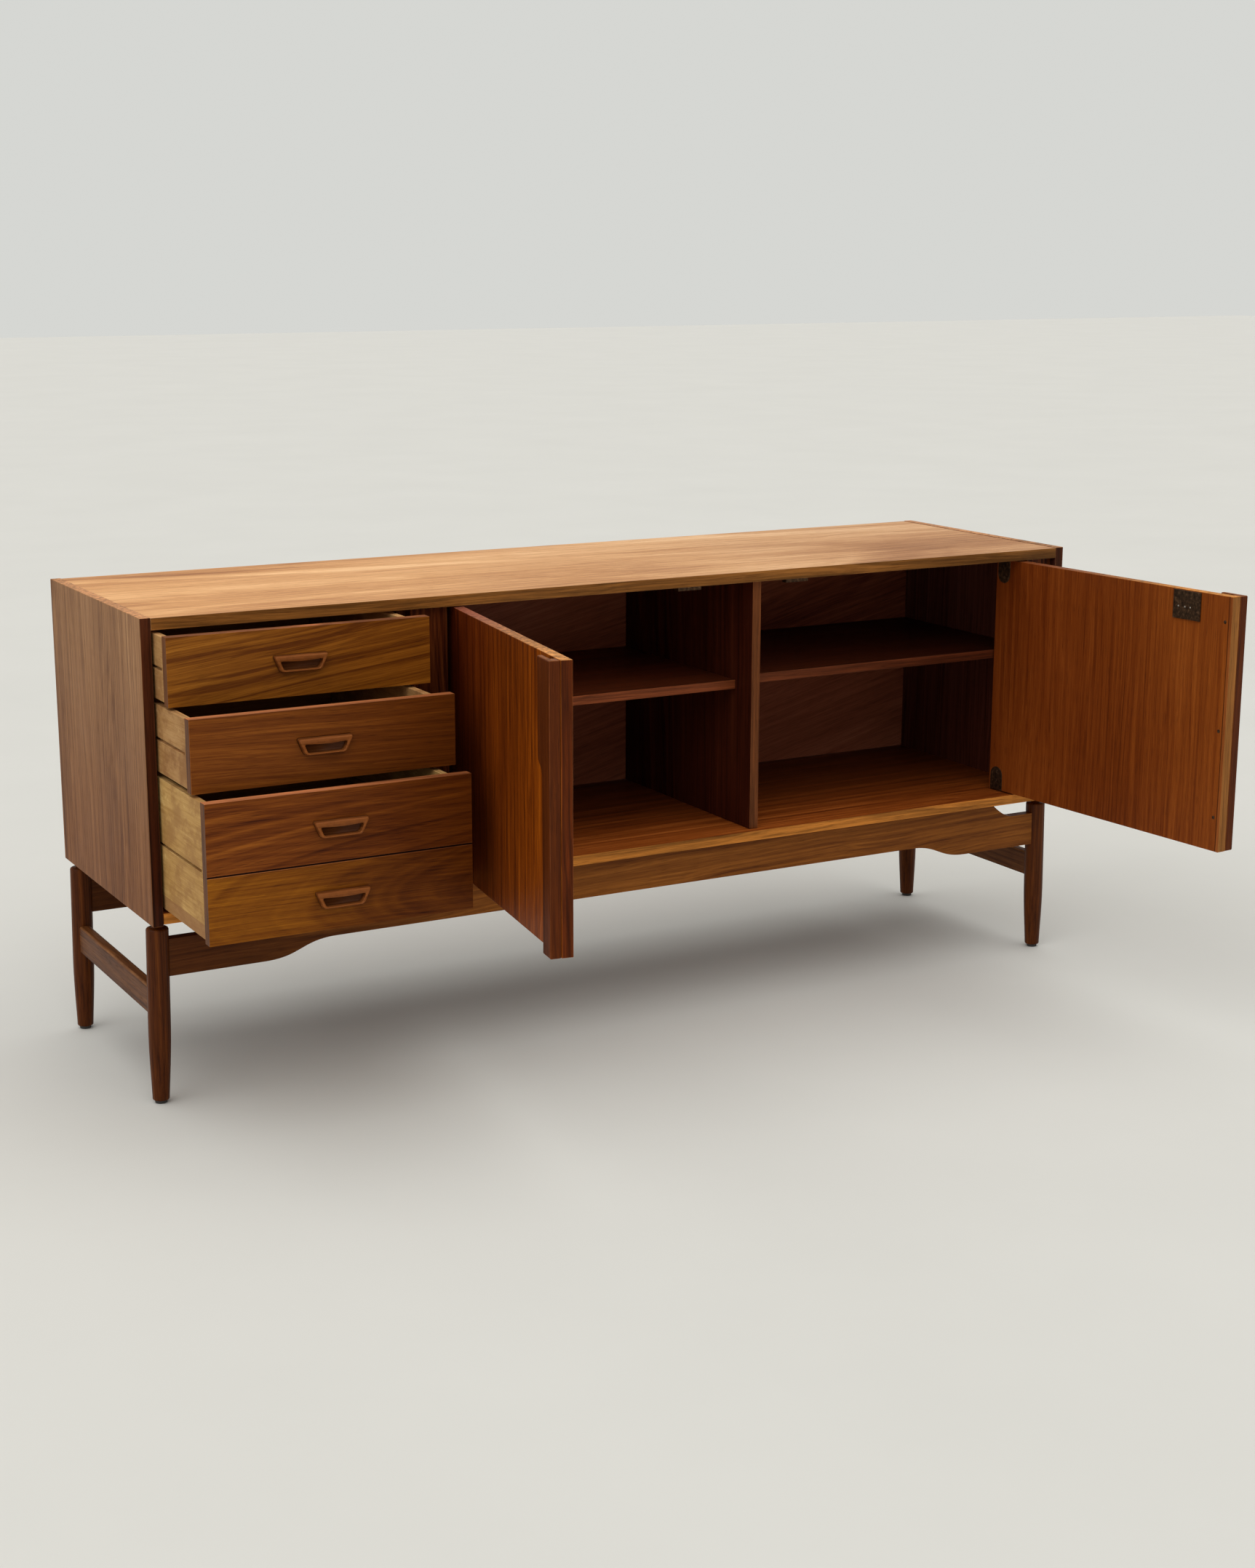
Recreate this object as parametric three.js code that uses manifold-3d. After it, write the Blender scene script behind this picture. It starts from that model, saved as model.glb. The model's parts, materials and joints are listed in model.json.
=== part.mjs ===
// Danish mid-century sideboard: three drawers on the left, two hinged doors on the right,
// a frame-fronted case on a base of four turned legs with curved rails.
// Millimetres, +Z up, the front faces -Y. The drawers and doors stand part open.

import * as THREE from 'three';
import { mergeVertices } from 'three/addons/utils/BufferGeometryUtils.js';
import Module from 'manifold-3d';

const manifold = await Module();
manifold.setup();

// ---- driving dimensions -------------------------------------------------------------------

const GAP = 0.3; // glue-line clearance between touching pieces
const REVEAL = 2.5; // working clearance round drawers and doors
const PAST = 1; // cutting tools run this far past the faces they open
const FACETS = { round: 24, leg: 48, grip: 6, pull: 16, rail: 20, edge: 5, tongue: 10 };

const CASE = {
  width: 1840,
  depth: 498,
  bottom: 309, // underside of the side panels above the floor
  top: 812, // upper edge of the side panels
  side: 18, // side panel thickness
  topBoard: 19,
  topDrop: 1, // the top lies this far below the side panels' edges
  bottomBoard: 18,
  bottomRise: 3, // the bottom board lies this far above the side panels' lower edges
  divider: 18,
  dividerGap: 1, // between a drawer front and the divider behind it
};
const TOP_Z = CASE.top - CASE.topDrop;
const CEILING_Z = TOP_Z - CASE.topBoard;
const UNDERSIDE_Z = CASE.bottom + CASE.bottomRise;
const FLOOR_Z = UNDERSIDE_Z + CASE.bottomBoard;
const BACK_PANEL = { thickness: 8, inset: 6 };
const BACK_FACE_Y = CASE.depth - BACK_PANEL.inset - BACK_PANEL.thickness;
const FRAME_Y = 15; // fronts of drawers, stiles and dividers stand this far behind the case edge

const DRAWER_DIVIDER_X = 450;
const CENTRE_DIVIDER_X = 1141;
const STILE = { thickness: 25, leftWidth: 66.7, rightWidth: 57 };

const DRAWER = {
  left: 19.5, // left end of every front
  right: 466,
  front: 19, // board thicknesses
  side: 12,
  back: 12,
  bottom: 5,
  boxLeft: 22, // outer faces of the box sides
  boxRight: 439,
  boxBack: 459,
  sideDrop: 3, // the sides stop this far below the front's top edge
  sideRise: 4,
  bottomRise: 10,
};
const RUNNER = { height: 4, depth: 6, clearance: 0.5, start: 60, end: 450, grooveStart: 12 };
// Each drawer: lower and upper edge of its front, how far it stands open, heights of its handles.
const DRAWERS = [
  { name: 'drawer_top', z0: 679, z1: 789.5, open: 80, handles: [747] },
  { name: 'drawer_middle', z0: 559.5, z1: 677, open: 174, handles: [630.5] },
  { name: 'drawer_deep', z0: 332.5, z1: 557, open: 232, handles: [510, 396] },
];
const FALSE_JOINT = { z: 441, width: 3, depth: 2 }; // line that divides the deep drawer's front

const HANDLE = {
  x: 239, // centre
  topWidth: 93,
  bottomWidth: 69,
  height: 27.5,
  corner: 5,
  pocketCorner: 4,
  proud: 11, // height above the drawer front
  inset: 7, // depth let into the drawer front
  floor: 2.5,
  topBar: 9,
  sideRim: 6,
  lowerRim: 3.5,
  sag: 1.6, // the grip's lower edge hangs this much at its middle
};

const DOOR = {
  width: 602,
  thickness: 19,
  y: 36, // outer face when closed, behind the case edge
  pivotInset: 20, // hinge axis from the hinge-side edge
  z0: FLOOR_Z + REVEAL,
  z1: CEILING_Z - REVEAL,
};
const PIVOT_Y = DOOR.y + DOOR.thickness / 2;
// side is 1 for a door hinged on its left and -1 for one hinged on its right.
const DOORS = [
  { name: 'door_left', side: 1, hingeEdge: 537, openDeg: 98.2 },
  { name: 'door_right', side: -1, hingeEdge: 1763, openDeg: 94 },
];
const PULL = {
  thickness: 18,
  root: 20, // solid strip at the free edge
  groove: 9, // finger space behind the lip
  wide: 55, // reach of the lip at the top
  narrow: 35, // and below the curve
  curveLow: 608,
  curveHigh: 640,
};
const HINGE = {
  width: 33,
  height: 46,
  plate: 2,
  setback: 4, // the edge plate stops this far from the door's outer face
  pinRadius: 4,
  pinLength: 6,
  socketDepth: 7,
};
const CATCH = {
  width: 64,
  height: 51,
  plate: 3,
  fromTop: 1.5,
  fromFreeEdge: 72,
  bodyWidth: 48,
  bodyDepth: 14,
  bodyHeight: 16,
  clearance: 1,
};

const SHELF = { thickness: 17, y: 69, leftTop: 602, rightTop: 609, endGap: 1 };

const LEG = {
  x: 10, // the foot's axis from the case's outer face
  lean: 6, // the axis leans this far inwards by the leg's top
  frontY: 31,
  backY: 459,
  radius: 18.5,
  footRadius: 14,
  taperStart: 120,
  top: 300,
  neckRadius: 9, // short neck between the leg and the case
  footEase: 2.5,
  shoulder: 3, // rounding at the top of the leg
};
const GLIDE = { radius: 10, height: 5 };
const RAIL = {
  thickness: 20,
  midBottom: 244,
  endBottom: 217,
  endTop: 280, // the top edge is scooped away from the case beside each leg
  notchFlat: 80,
  notchBend: 102,
  notchEnd: 134,
  dipEnd: 195,
  dipStart: 325,
};
const STRETCHER = { thickness: 20, bottom: 148, top: 195, round: 6 };

const FINISH = {
  top: { color: 0xb07850, roughness: 0.5 },
  side: { color: 0x7d5f46, roughness: 0.55 },
  inside: { color: 0x6e4428, roughness: 0.6 },
  drawerFront: { color: 0x82501e, roughness: 0.45 },
  doorFace: { color: 0x86491c, roughness: 0.45 },
  darkWood: { color: 0x4b2d1e, roughness: 0.4 },
  rail: { color: 0x6e4123, roughness: 0.45 },
  paleWood: { color: 0xb9965a, roughness: 0.7 },
  bronze: { color: 0x2c2822, roughness: 0.5, metalness: 0.8 },
  glide: { color: 0x1c1a18, roughness: 0.6 },
};

// ---- geometry helpers ---------------------------------------------------------------------

function block(x0, x1, y0, y1, z0, z1) {
  const geometry = new THREE.BoxGeometry(x1 - x0, y1 - y0, z1 - z0);
  return geometry.translate((x0 + x1) / 2, (y0 + y1) / 2, (z0 + z1) / 2);
}

// A shape drawn in X and Z, extruded from y0 to y1.
function slab(shape, y0, y1, curveSegments) {
  const geometry = new THREE.ExtrudeGeometry(shape, {
    depth: y1 - y0,
    bevelEnabled: false,
    curveSegments,
  });
  return geometry.rotateX(Math.PI / 2).translate(0, y1, 0);
}

// A profile of [radius, z] pairs turned about the vertical line through x, y.
function turned(profile, x, y, segments) {
  const points = profile.map(([radius, z]) => new THREE.Vector2(radius, z));
  return new THREE.LatheGeometry(points, segments).rotateX(Math.PI / 2).translate(x, y, 0);
}

function upright(x, y, radius, z0, z1, segments = FACETS.round) {
  return turned([[0, z0], [radius, z0], [radius, z1], [0, z1]], x, y, segments);
}

function signedVolume(position, index) {
  const [a, b, c] = [new THREE.Vector3(), new THREE.Vector3(), new THREE.Vector3()];
  let sum = 0;
  for (let i = 0; i < index.count; i += 3) {
    a.fromBufferAttribute(position, index.getX(i));
    b.fromBufferAttribute(position, index.getX(i + 1));
    c.fromBufferAttribute(position, index.getX(i + 2));
    sum += a.dot(b.cross(c)) / 6;
  }
  return sum;
}

function solid(geometry) {
  const bare = geometry.clone();
  bare.deleteAttribute('normal');
  bare.deleteAttribute('uv');
  const merged = mergeVertices(bare, 1e-3);
  const triVerts = new Uint32Array(merged.index.array);
  if (signedVolume(merged.attributes.position, merged.index) < 0) triVerts.reverse();
  const vertProperties = new Float32Array(merged.attributes.position.array);
  return new manifold.Manifold(new manifold.Mesh({ numProp: 3, vertProperties, triVerts }));
}

function geometryOf(body) {
  const mesh = body.getMesh();
  const geometry = new THREE.BufferGeometry();
  geometry.setAttribute('position', new THREE.BufferAttribute(mesh.vertProperties, 3));
  geometry.setIndex(new THREE.BufferAttribute(mesh.triVerts, 1));
  geometry.computeVertexNormals();
  return geometry;
}

function cut(base, ...tools) {
  return geometryOf(tools.reduce((body, tool) => body.subtract(solid(tool)), solid(base)));
}

function join(base, ...extras) {
  return geometryOf(extras.reduce((body, extra) => body.add(solid(extra)), solid(base)));
}

function piece(name, geometry, finish) {
  const material = new THREE.MeshStandardMaterial({ metalness: 0, ...finish });
  const mesh = new THREE.Mesh(geometry, material);
  mesh.name = name;
  return mesh;
}

// ---- case ---------------------------------------------------------------------------------

function doorPivotX(door) {
  return door.hingeEdge + door.side * DOOR.pivotInset;
}

function hingeSockets(z0, z1) {
  const radius = HINGE.pinRadius + GAP;
  return DOORS.map((door) => upright(doorPivotX(door), PIVOT_Y, radius, z0, z1));
}

function buildCase() {
  const group = new THREE.Group();
  const innerLeft = CASE.side;
  const innerRight = CASE.width - CASE.side;
  const { depth } = CASE;

  const panel = (x0) => block(x0, x0 + CASE.side, 0, depth, CASE.bottom, CASE.top);
  group.add(piece('side_panel_left', panel(0), FINISH.side));
  group.add(piece('side_panel_right', panel(innerRight), FINISH.side));

  const board = (z0, z1) => block(innerLeft + GAP, innerRight - GAP, 0, depth, z0, z1);
  const topSockets = hingeSockets(CEILING_Z - PAST, CEILING_Z + HINGE.socketDepth);
  const bottomSockets = hingeSockets(FLOOR_Z - HINGE.socketDepth, FLOOR_Z + PAST);
  group.add(piece('top_board', cut(board(CEILING_Z, TOP_Z), ...topSockets), FINISH.top));
  group.add(
    piece('bottom_board', cut(board(UNDERSIDE_Z, FLOOR_Z), ...bottomSockets), FINISH.inside),
  );

  const z0 = FLOOR_Z + GAP;
  const z1 = CEILING_Z - GAP;
  const backEdge = BACK_FACE_Y - GAP;
  const divider = (x, y0) => block(x, x + CASE.divider, y0, backEdge, z0, z1);
  const dividerFront = FRAME_Y + DRAWER.front + CASE.dividerGap;
  group.add(piece('drawer_divider', divider(DRAWER_DIVIDER_X, dividerFront), FINISH.inside));
  group.add(piece('centre_divider', divider(CENTRE_DIVIDER_X, FRAME_Y), FINISH.inside));

  const stile = (x0, x1) => block(x0, x1, FRAME_Y, FRAME_Y + STILE.thickness, z0, z1);
  const leftStileX = DRAWER_DIVIDER_X + CASE.divider + GAP;
  const rightStileX = innerRight - GAP;
  group.add(
    piece('stile_left', stile(leftStileX, leftStileX + STILE.leftWidth), FINISH.inside),
    piece('stile_right', stile(rightStileX - STILE.rightWidth + GAP, rightStileX), FINISH.inside),
  );

  const backPanel = block(
    innerLeft + GAP,
    innerRight - GAP,
    BACK_FACE_Y,
    BACK_FACE_Y + BACK_PANEL.thickness,
    z0,
    z1,
  );
  group.add(piece('back_panel', backPanel, FINISH.inside));

  const shelf = (x0, x1, top) =>
    block(x0, x1, SHELF.y, BACK_FACE_Y - SHELF.endGap, top - SHELF.thickness, top);
  const leftBayStart = DRAWER_DIVIDER_X + CASE.divider + SHELF.endGap;
  const leftBayEnd = CENTRE_DIVIDER_X - SHELF.endGap;
  const rightBayStart = CENTRE_DIVIDER_X + CASE.divider + SHELF.endGap;
  const rightBayEnd = innerRight - SHELF.endGap;
  group.add(
    piece('shelf_left', shelf(leftBayStart, leftBayEnd, SHELF.leftTop), FINISH.inside),
    piece('shelf_right', shelf(rightBayStart, rightBayEnd, SHELF.rightTop), FINISH.inside),
  );
  return group;
}

// Runner strips on the case carry each drawer by the groove in its sides.
function buildRunners() {
  const group = new THREE.Group();
  for (const drawer of DRAWERS) {
    const z = (drawer.z0 + drawer.z1) / 2;
    const [z0, z1] = [z - RUNNER.height / 2, z + RUNNER.height / 2];
    const reach = RUNNER.depth - RUNNER.clearance;
    const left = block(CASE.side + GAP, DRAWER.boxLeft + reach, RUNNER.start, RUNNER.end, z0, z1);
    const rightEnd = DRAWER_DIVIDER_X - GAP;
    const right = block(DRAWER.boxRight - reach, rightEnd, RUNNER.start, RUNNER.end, z0, z1);
    group.add(piece(`${drawer.name}_runner_left`, left, FINISH.paleWood));
    group.add(piece(`${drawer.name}_runner_right`, right, FINISH.paleWood));
  }
  return group;
}

// ---- drawers ------------------------------------------------------------------------------

// A trapezoid with rounded corners, wider at its top, hanging below z = 0.
// sag lowers the middle of the top edge.
function trapezoid(topWidth, bottomWidth, height, corner, sag = 0) {
  const corners = [
    new THREE.Vector2(-topWidth / 2, 0),
    new THREE.Vector2(-bottomWidth / 2, -height),
    new THREE.Vector2(bottomWidth / 2, -height),
    new THREE.Vector2(topWidth / 2, 0),
  ];
  const towards = (from, to) => to.clone().sub(from).setLength(corner).add(from);
  const shape = new THREE.Shape();
  corners.forEach((point, i) => {
    const before = towards(point, corners[(i + 3) % 4]);
    const after = towards(point, corners[(i + 1) % 4]);
    if (i === 0) shape.moveTo(before.x, before.y);
    else shape.lineTo(before.x, before.y);
    shape.quadraticCurveTo(point.x, point.y, after.x, after.y);
  });
  if (sag > 0) shape.quadraticCurveTo(0, -2 * sag, -topWidth / 2 + corner, 0);
  return shape;
}

function handleBlank(grow, y0, y1) {
  const { topWidth, bottomWidth, height, corner } = HANDLE;
  const shape = trapezoid(
    topWidth + 2 * grow,
    bottomWidth + 2 * grow,
    height + 2 * grow,
    corner,
  );
  return slab(shape, y0, y1, FACETS.grip).translate(0, 0, grow);
}

function handleGeometry() {
  const { topWidth, bottomWidth, height, sideRim, topBar, lowerRim, pocketCorner, sag } = HANDLE;
  const slope = (topWidth - bottomWidth) / height;
  const pocket = trapezoid(
    topWidth - 2 * sideRim - slope * topBar,
    bottomWidth - 2 * sideRim + slope * lowerRim,
    height - topBar - lowerRim,
    pocketCorner,
    sag,
  );
  const floorY = HANDLE.inset - HANDLE.floor;
  const hollow = slab(pocket, -HANDLE.proud - PAST, floorY, FACETS.grip).translate(0, 0, -topBar);
  return cut(handleBlank(0, -HANDLE.proud, HANDLE.inset), hollow);
}

function drawerFront(drawer) {
  const y0 = FRAME_Y;
  const board = block(DRAWER.left, DRAWER.right, y0, y0 + DRAWER.front, drawer.z0, drawer.z1);
  const tools = drawer.handles.map((z) =>
    handleBlank(GAP, -PAST, HANDLE.inset + GAP).translate(HANDLE.x, y0, z),
  );
  if (drawer.handles.length > 1) {
    const { z, width, depth } = FALSE_JOINT;
    const vee = new THREE.Shape();
    vee.moveTo(-PAST, z - width);
    vee.lineTo(depth, z);
    vee.lineTo(-PAST, z + width);
    const length = DRAWER.right - DRAWER.left + 2 * PAST;
    const groove = new THREE.ExtrudeGeometry(vee, { depth: length, bevelEnabled: false });
    groove.rotateX(Math.PI / 2).rotateZ(Math.PI / 2);
    tools.push(groove.translate(DRAWER.left - PAST, y0, 0));
  }
  return cut(board, ...tools);
}

function drawerSide(x, grooveX, drawer) {
  const y0 = FRAME_Y + DRAWER.front + GAP;
  const [z0, z1] = [drawer.z0 + DRAWER.sideRise, drawer.z1 - DRAWER.sideDrop];
  const board = block(x, x + DRAWER.side, y0, DRAWER.boxBack, z0, z1);
  const z = (drawer.z0 + drawer.z1) / 2;
  const half = RUNNER.height / 2 + RUNNER.clearance;
  const groove = block(
    grooveX,
    grooveX + RUNNER.depth + PAST,
    y0 + RUNNER.grooveStart,
    DRAWER.boxBack + PAST,
    z - half,
    z + half,
  );
  return cut(board, groove);
}

function buildDrawer(drawer) {
  const group = new THREE.Group();
  const name = (part) => `${drawer.name}_${part}`;
  const { boxLeft, boxRight, side, back, boxBack } = DRAWER;
  group.add(piece(name('front'), drawerFront(drawer), FINISH.drawerFront));

  const left = drawerSide(boxLeft, boxLeft - PAST, drawer);
  const right = drawerSide(boxRight - side, boxRight - RUNNER.depth, drawer);
  group.add(piece(name('side_left'), left, FINISH.paleWood));
  group.add(piece(name('side_right'), right, FINISH.paleWood));

  const [x0, x1] = [boxLeft + side + GAP, boxRight - side - GAP];
  const bottomZ = drawer.z0 + DRAWER.bottomRise;
  const frontBackY = FRAME_Y + DRAWER.front + GAP;
  const bottom = block(x0, x1, frontBackY, boxBack, bottomZ, bottomZ + DRAWER.bottom);
  group.add(piece(name('bottom'), bottom, FINISH.paleWood));

  const backZ = bottomZ + DRAWER.bottom + GAP;
  const backBoard = block(x0, x1, boxBack - back, boxBack, backZ, drawer.z1 - DRAWER.sideDrop);
  group.add(piece(name('back'), backBoard, FINISH.paleWood));

  drawer.handles.forEach((z, i) => {
    const suffix = drawer.handles.length > 1 ? ['handle_upper', 'handle_lower'][i] : 'handle';
    const handle = piece(name(suffix), handleGeometry(), FINISH.darkWood);
    handle.position.set(HANDLE.x, FRAME_Y, z);
    group.add(handle);
  });
  group.position.y = -drawer.open;
  return group;
}

// ---- doors --------------------------------------------------------------------------------

// The door's own frame: origin on the hinge axis, x towards the free edge on a left door,
// y = 0 at mid thickness, z as in the case.

// Plate outline: a tongue with a round end, drawn from its square edge at z = 0.
function tongue(direction, grow) {
  const half = HINGE.width / 2 + grow;
  const reach = HINGE.height - HINGE.width / 2;
  const shape = new THREE.Shape();
  shape.moveTo(-half, 0);
  shape.lineTo(-half, direction * reach);
  shape.absarc(0, direction * reach, half, Math.PI, 0, direction > 0);
  shape.lineTo(half, 0);
  return shape;
}

// The leaf let into the door's inner face and edge; edgeZ is the door's edge, up is 1 at the top.
function hingeLeaf(edgeZ, up, grow) {
  const inner = DOOR.thickness / 2;
  const half = HINGE.width / 2 + grow;
  const thick = HINGE.plate + grow;
  const open = grow > 0 ? PAST : 0;
  const face = slab(tongue(-up, grow), inner - thick, inner + open, FACETS.tongue);
  face.translate(0, 0, edgeZ + up * grow);
  const z = [edgeZ - up * thick, edgeZ + up * grow].sort((a, b) => a - b);
  const edge = block(-half, half, HINGE.setback - inner - grow, inner + grow, z[0], z[1]);
  return [face, edge];
}

function hingeGeometry(edgeZ, up) {
  const ends = [edgeZ - up, edgeZ + up * (REVEAL + HINGE.pinLength)].sort((a, b) => a - b);
  const pin = upright(0, 0, HINGE.pinRadius, ...ends);
  return join(...hingeLeaf(edgeZ, up, 0), pin);
}

function pullGeometry(side, free) {
  const outer = -DOOR.thickness / 2 - GAP;
  const [rootX, wideX, narrowX] = [PULL.root, PULL.wide, PULL.narrow].map((u) => free - u);
  const middle = (PULL.curveLow + PULL.curveHigh) / 2;
  const shape = new THREE.Shape();
  shape.moveTo(side * free, DOOR.z0);
  shape.lineTo(side * narrowX, DOOR.z0);
  shape.lineTo(side * narrowX, PULL.curveLow);
  shape.bezierCurveTo(
    side * narrowX,
    middle,
    side * wideX,
    middle,
    side * wideX,
    PULL.curveHigh,
  );
  shape.lineTo(side * wideX, DOOR.z1);
  shape.lineTo(side * free, DOOR.z1);
  const blank = slab(shape, outer - PULL.thickness, outer, FACETS.pull);
  const reach = [side * rootX, side * (wideX - PAST)].sort((a, b) => a - b);
  const ends = [DOOR.z0 - PAST, DOOR.z1 + PAST];
  const groove = block(...reach, outer - PULL.groove, outer + PAST, ...ends);
  return cut(blank, groove);
}

function buildDoor(door) {
  const group = new THREE.Group();
  const { side } = door;
  const name = (part) => `${door.name}_${part}`;
  const free = DOOR.width - DOOR.pivotInset;
  const half = DOOR.thickness / 2;
  const span = (u0, u1) => [side * u0, side * u1].sort((a, b) => a - b);

  const blank = block(...span(-DOOR.pivotInset, free), -half, half, DOOR.z0, DOOR.z1);
  const mortises = [...hingeLeaf(DOOR.z1, 1, GAP), ...hingeLeaf(DOOR.z0, -1, GAP)];
  group.add(piece(name('panel'), cut(blank, ...mortises), FINISH.doorFace));
  group.add(piece(name('pull'), pullGeometry(side, free), FINISH.darkWood));
  group.add(piece(name('hinge_top'), hingeGeometry(DOOR.z1, 1), FINISH.bronze));
  group.add(piece(name('hinge_bottom'), hingeGeometry(DOOR.z0, -1), FINISH.bronze));

  const strikeX = span(free - CATCH.fromFreeEdge - CATCH.width, free - CATCH.fromFreeEdge);
  const strikeZ = DOOR.z1 - CATCH.fromTop;
  const strikeY = half + GAP;
  const strike = block(
    ...strikeX,
    strikeY,
    strikeY + CATCH.plate,
    strikeZ - CATCH.height,
    strikeZ,
  );
  group.add(piece(name('catch_plate'), strike, FINISH.bronze));

  group.position.set(doorPivotX(door), PIVOT_Y, 0);
  group.rotation.z = -side * THREE.MathUtils.degToRad(door.openDeg);
  return group;
}

// The catch body hangs under the top and meets the plate when the door is shut.
function buildCatchBody(door) {
  const free = DOOR.width - DOOR.pivotInset;
  const centre = doorPivotX(door) + door.side * (free - CATCH.fromFreeEdge - CATCH.width / 2);
  const y0 = PIVOT_Y + DOOR.thickness / 2 + GAP + CATCH.plate + CATCH.clearance;
  const z1 = CEILING_Z - GAP;
  const x0 = centre - CATCH.bodyWidth / 2;
  const { bodyWidth, bodyDepth, bodyHeight } = CATCH;
  const body = block(x0, x0 + bodyWidth, y0, y0 + bodyDepth, z1 - bodyHeight, z1);
  return piece(`${door.name}_catch_body`, body, FINISH.bronze);
}

// ---- base ---------------------------------------------------------------------------------

function legGeometry() {
  const { radius, footRadius, taperStart, top, neckRadius, footEase, shoulder } = LEG;
  const foot = GLIDE.height + GAP;
  const head = CASE.bottom - GAP;
  const profile = [
    [0, foot],
    [footRadius - footEase, foot],
    [footRadius - footEase / 4, foot + footEase / 3],
    [footRadius, foot + footEase],
    [radius, taperStart],
    [radius, top - shoulder],
    [radius - shoulder / 3.4, top - shoulder / 3.4],
    [radius - shoulder, top],
    [neckRadius, top],
    [neckRadius, head],
    [0, head],
  ];
  return turned(profile, 0, 0, FACETS.leg);
}

// Leans an upright geometry at x = 0 sideways, as the legs lean towards the middle.
function leaning(geometry, side) {
  const slope = (side === 'left' ? LEG.lean : -LEG.lean) / LEG.top;
  return geometry.applyMatrix4(new THREE.Matrix4().makeShear(0, 0, 0, 0, slope, 0));
}

// The rail's lower edge rises between the dips; its ends are scooped away from the case.
function railShape() {
  const { midBottom, endBottom, endTop, notchFlat, notchBend, notchEnd, dipEnd, dipStart } = RAIL;
  const top = UNDERSIDE_Z - GAP;
  const w = CASE.width;
  const dipMid = (dipEnd + dipStart) / 2;
  const shape = new THREE.Shape();
  shape.moveTo(LEG.x, endBottom);
  shape.lineTo(dipEnd, endBottom);
  shape.bezierCurveTo(dipMid, endBottom, dipMid, midBottom, dipStart, midBottom);
  shape.lineTo(w - dipStart, midBottom);
  shape.bezierCurveTo(w - dipMid, midBottom, w - dipMid, endBottom, w - dipEnd, endBottom);
  shape.lineTo(w - LEG.x, endBottom);
  shape.lineTo(w - LEG.x, endTop);
  shape.lineTo(w - notchFlat, endTop);
  shape.quadraticCurveTo(w - notchBend, endTop, w - notchEnd, top);
  shape.lineTo(notchEnd, top);
  shape.quadraticCurveTo(notchBend, endTop, notchFlat, endTop);
  shape.lineTo(LEG.x, endTop);
  return shape;
}

function stretcherShape() {
  const half = STRETCHER.thickness / 2;
  const { bottom, top, round } = STRETCHER;
  const shape = new THREE.Shape();
  shape.moveTo(-half, bottom);
  shape.lineTo(half, bottom);
  shape.lineTo(half, top - round);
  shape.quadraticCurveTo(half, top, half - round, top);
  shape.lineTo(-half + round, top);
  shape.quadraticCurveTo(-half, top, -half, top - round);
  return shape;
}

function buildBase() {
  const group = new THREE.Group();
  const columns = [
    { side: 'left', x: LEG.x },
    { side: 'right', x: CASE.width - LEG.x },
  ];
  const rows = [
    { end: 'front', y: LEG.frontY },
    { end: 'back', y: LEG.backY },
  ];
  const clearance = LEG.radius + GAP;
  const aroundLeg = ({ side, x }, { y }) => {
    const sleeve = upright(0, 0, clearance, LEG.taperStart, CASE.top, FACETS.leg);
    return leaning(sleeve, side).translate(x, y, 0);
  };
  const stretcherHeight = (STRETCHER.bottom + STRETCHER.top) / 2;

  for (const column of columns) {
    const { side, x } = column;
    for (const { end, y } of rows) {
      const leg = piece(`leg_${end}_${side}`, leaning(legGeometry(), side), FINISH.darkWood);
      leg.position.set(x, y, 0);
      const glide = piece(
        `glide_${end}_${side}`,
        upright(0, 0, GLIDE.radius, 0, GLIDE.height),
        FINISH.glide,
      );
      glide.position.set(x, y, 0);
      group.add(leg, glide);
    }
    const inwards = ((side === 'left' ? LEG.lean : -LEG.lean) * stretcherHeight) / LEG.top;
    const blank = slab(stretcherShape(), LEG.frontY, LEG.backY, FACETS.edge);
    blank.translate(x + inwards, 0, 0);
    const coped = cut(blank, ...rows.map((row) => aroundLeg(column, row)));
    group.add(piece(`stretcher_${side}`, coped, FINISH.darkWood));
  }
  for (const row of rows) {
    const { end, y } = row;
    const half = RAIL.thickness / 2;
    const coped = cut(
      slab(railShape(), y - half, y + half, FACETS.rail),
      ...columns.map((column) => aroundLeg(column, row)),
    );
    group.add(piece(`rail_${end}`, coped, FINISH.rail));
  }
  return group;
}

// ---- assembly -----------------------------------------------------------------------------

const sideboard = new THREE.Group();
sideboard.add(buildCase(), buildRunners(), buildBase());
for (const drawer of DRAWERS) sideboard.add(buildDrawer(drawer));
for (const door of DOORS) sideboard.add(buildDoor(door), buildCatchBody(door));

// The origin is on the floor at the middle of the whole object's box.
sideboard.updateMatrixWorld(true);
const extent = new THREE.Box3().setFromObject(sideboard, true);
const middle = extent.getCenter(new THREE.Vector3());
sideboard.position.set(-middle.x, -middle.y, -extent.min.z);
sideboard.updateMatrixWorld(true);

export default sideboard;
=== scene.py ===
"""An oiled-teak sideboard with three drawers, two doors and a turned base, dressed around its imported
CAD frame. Metres, +Z up, the front faces -Y. The drawers and doors stand part open at rest."""

import json
import math

import bmesh
import bpy
from mathutils import Matrix, Vector


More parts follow.
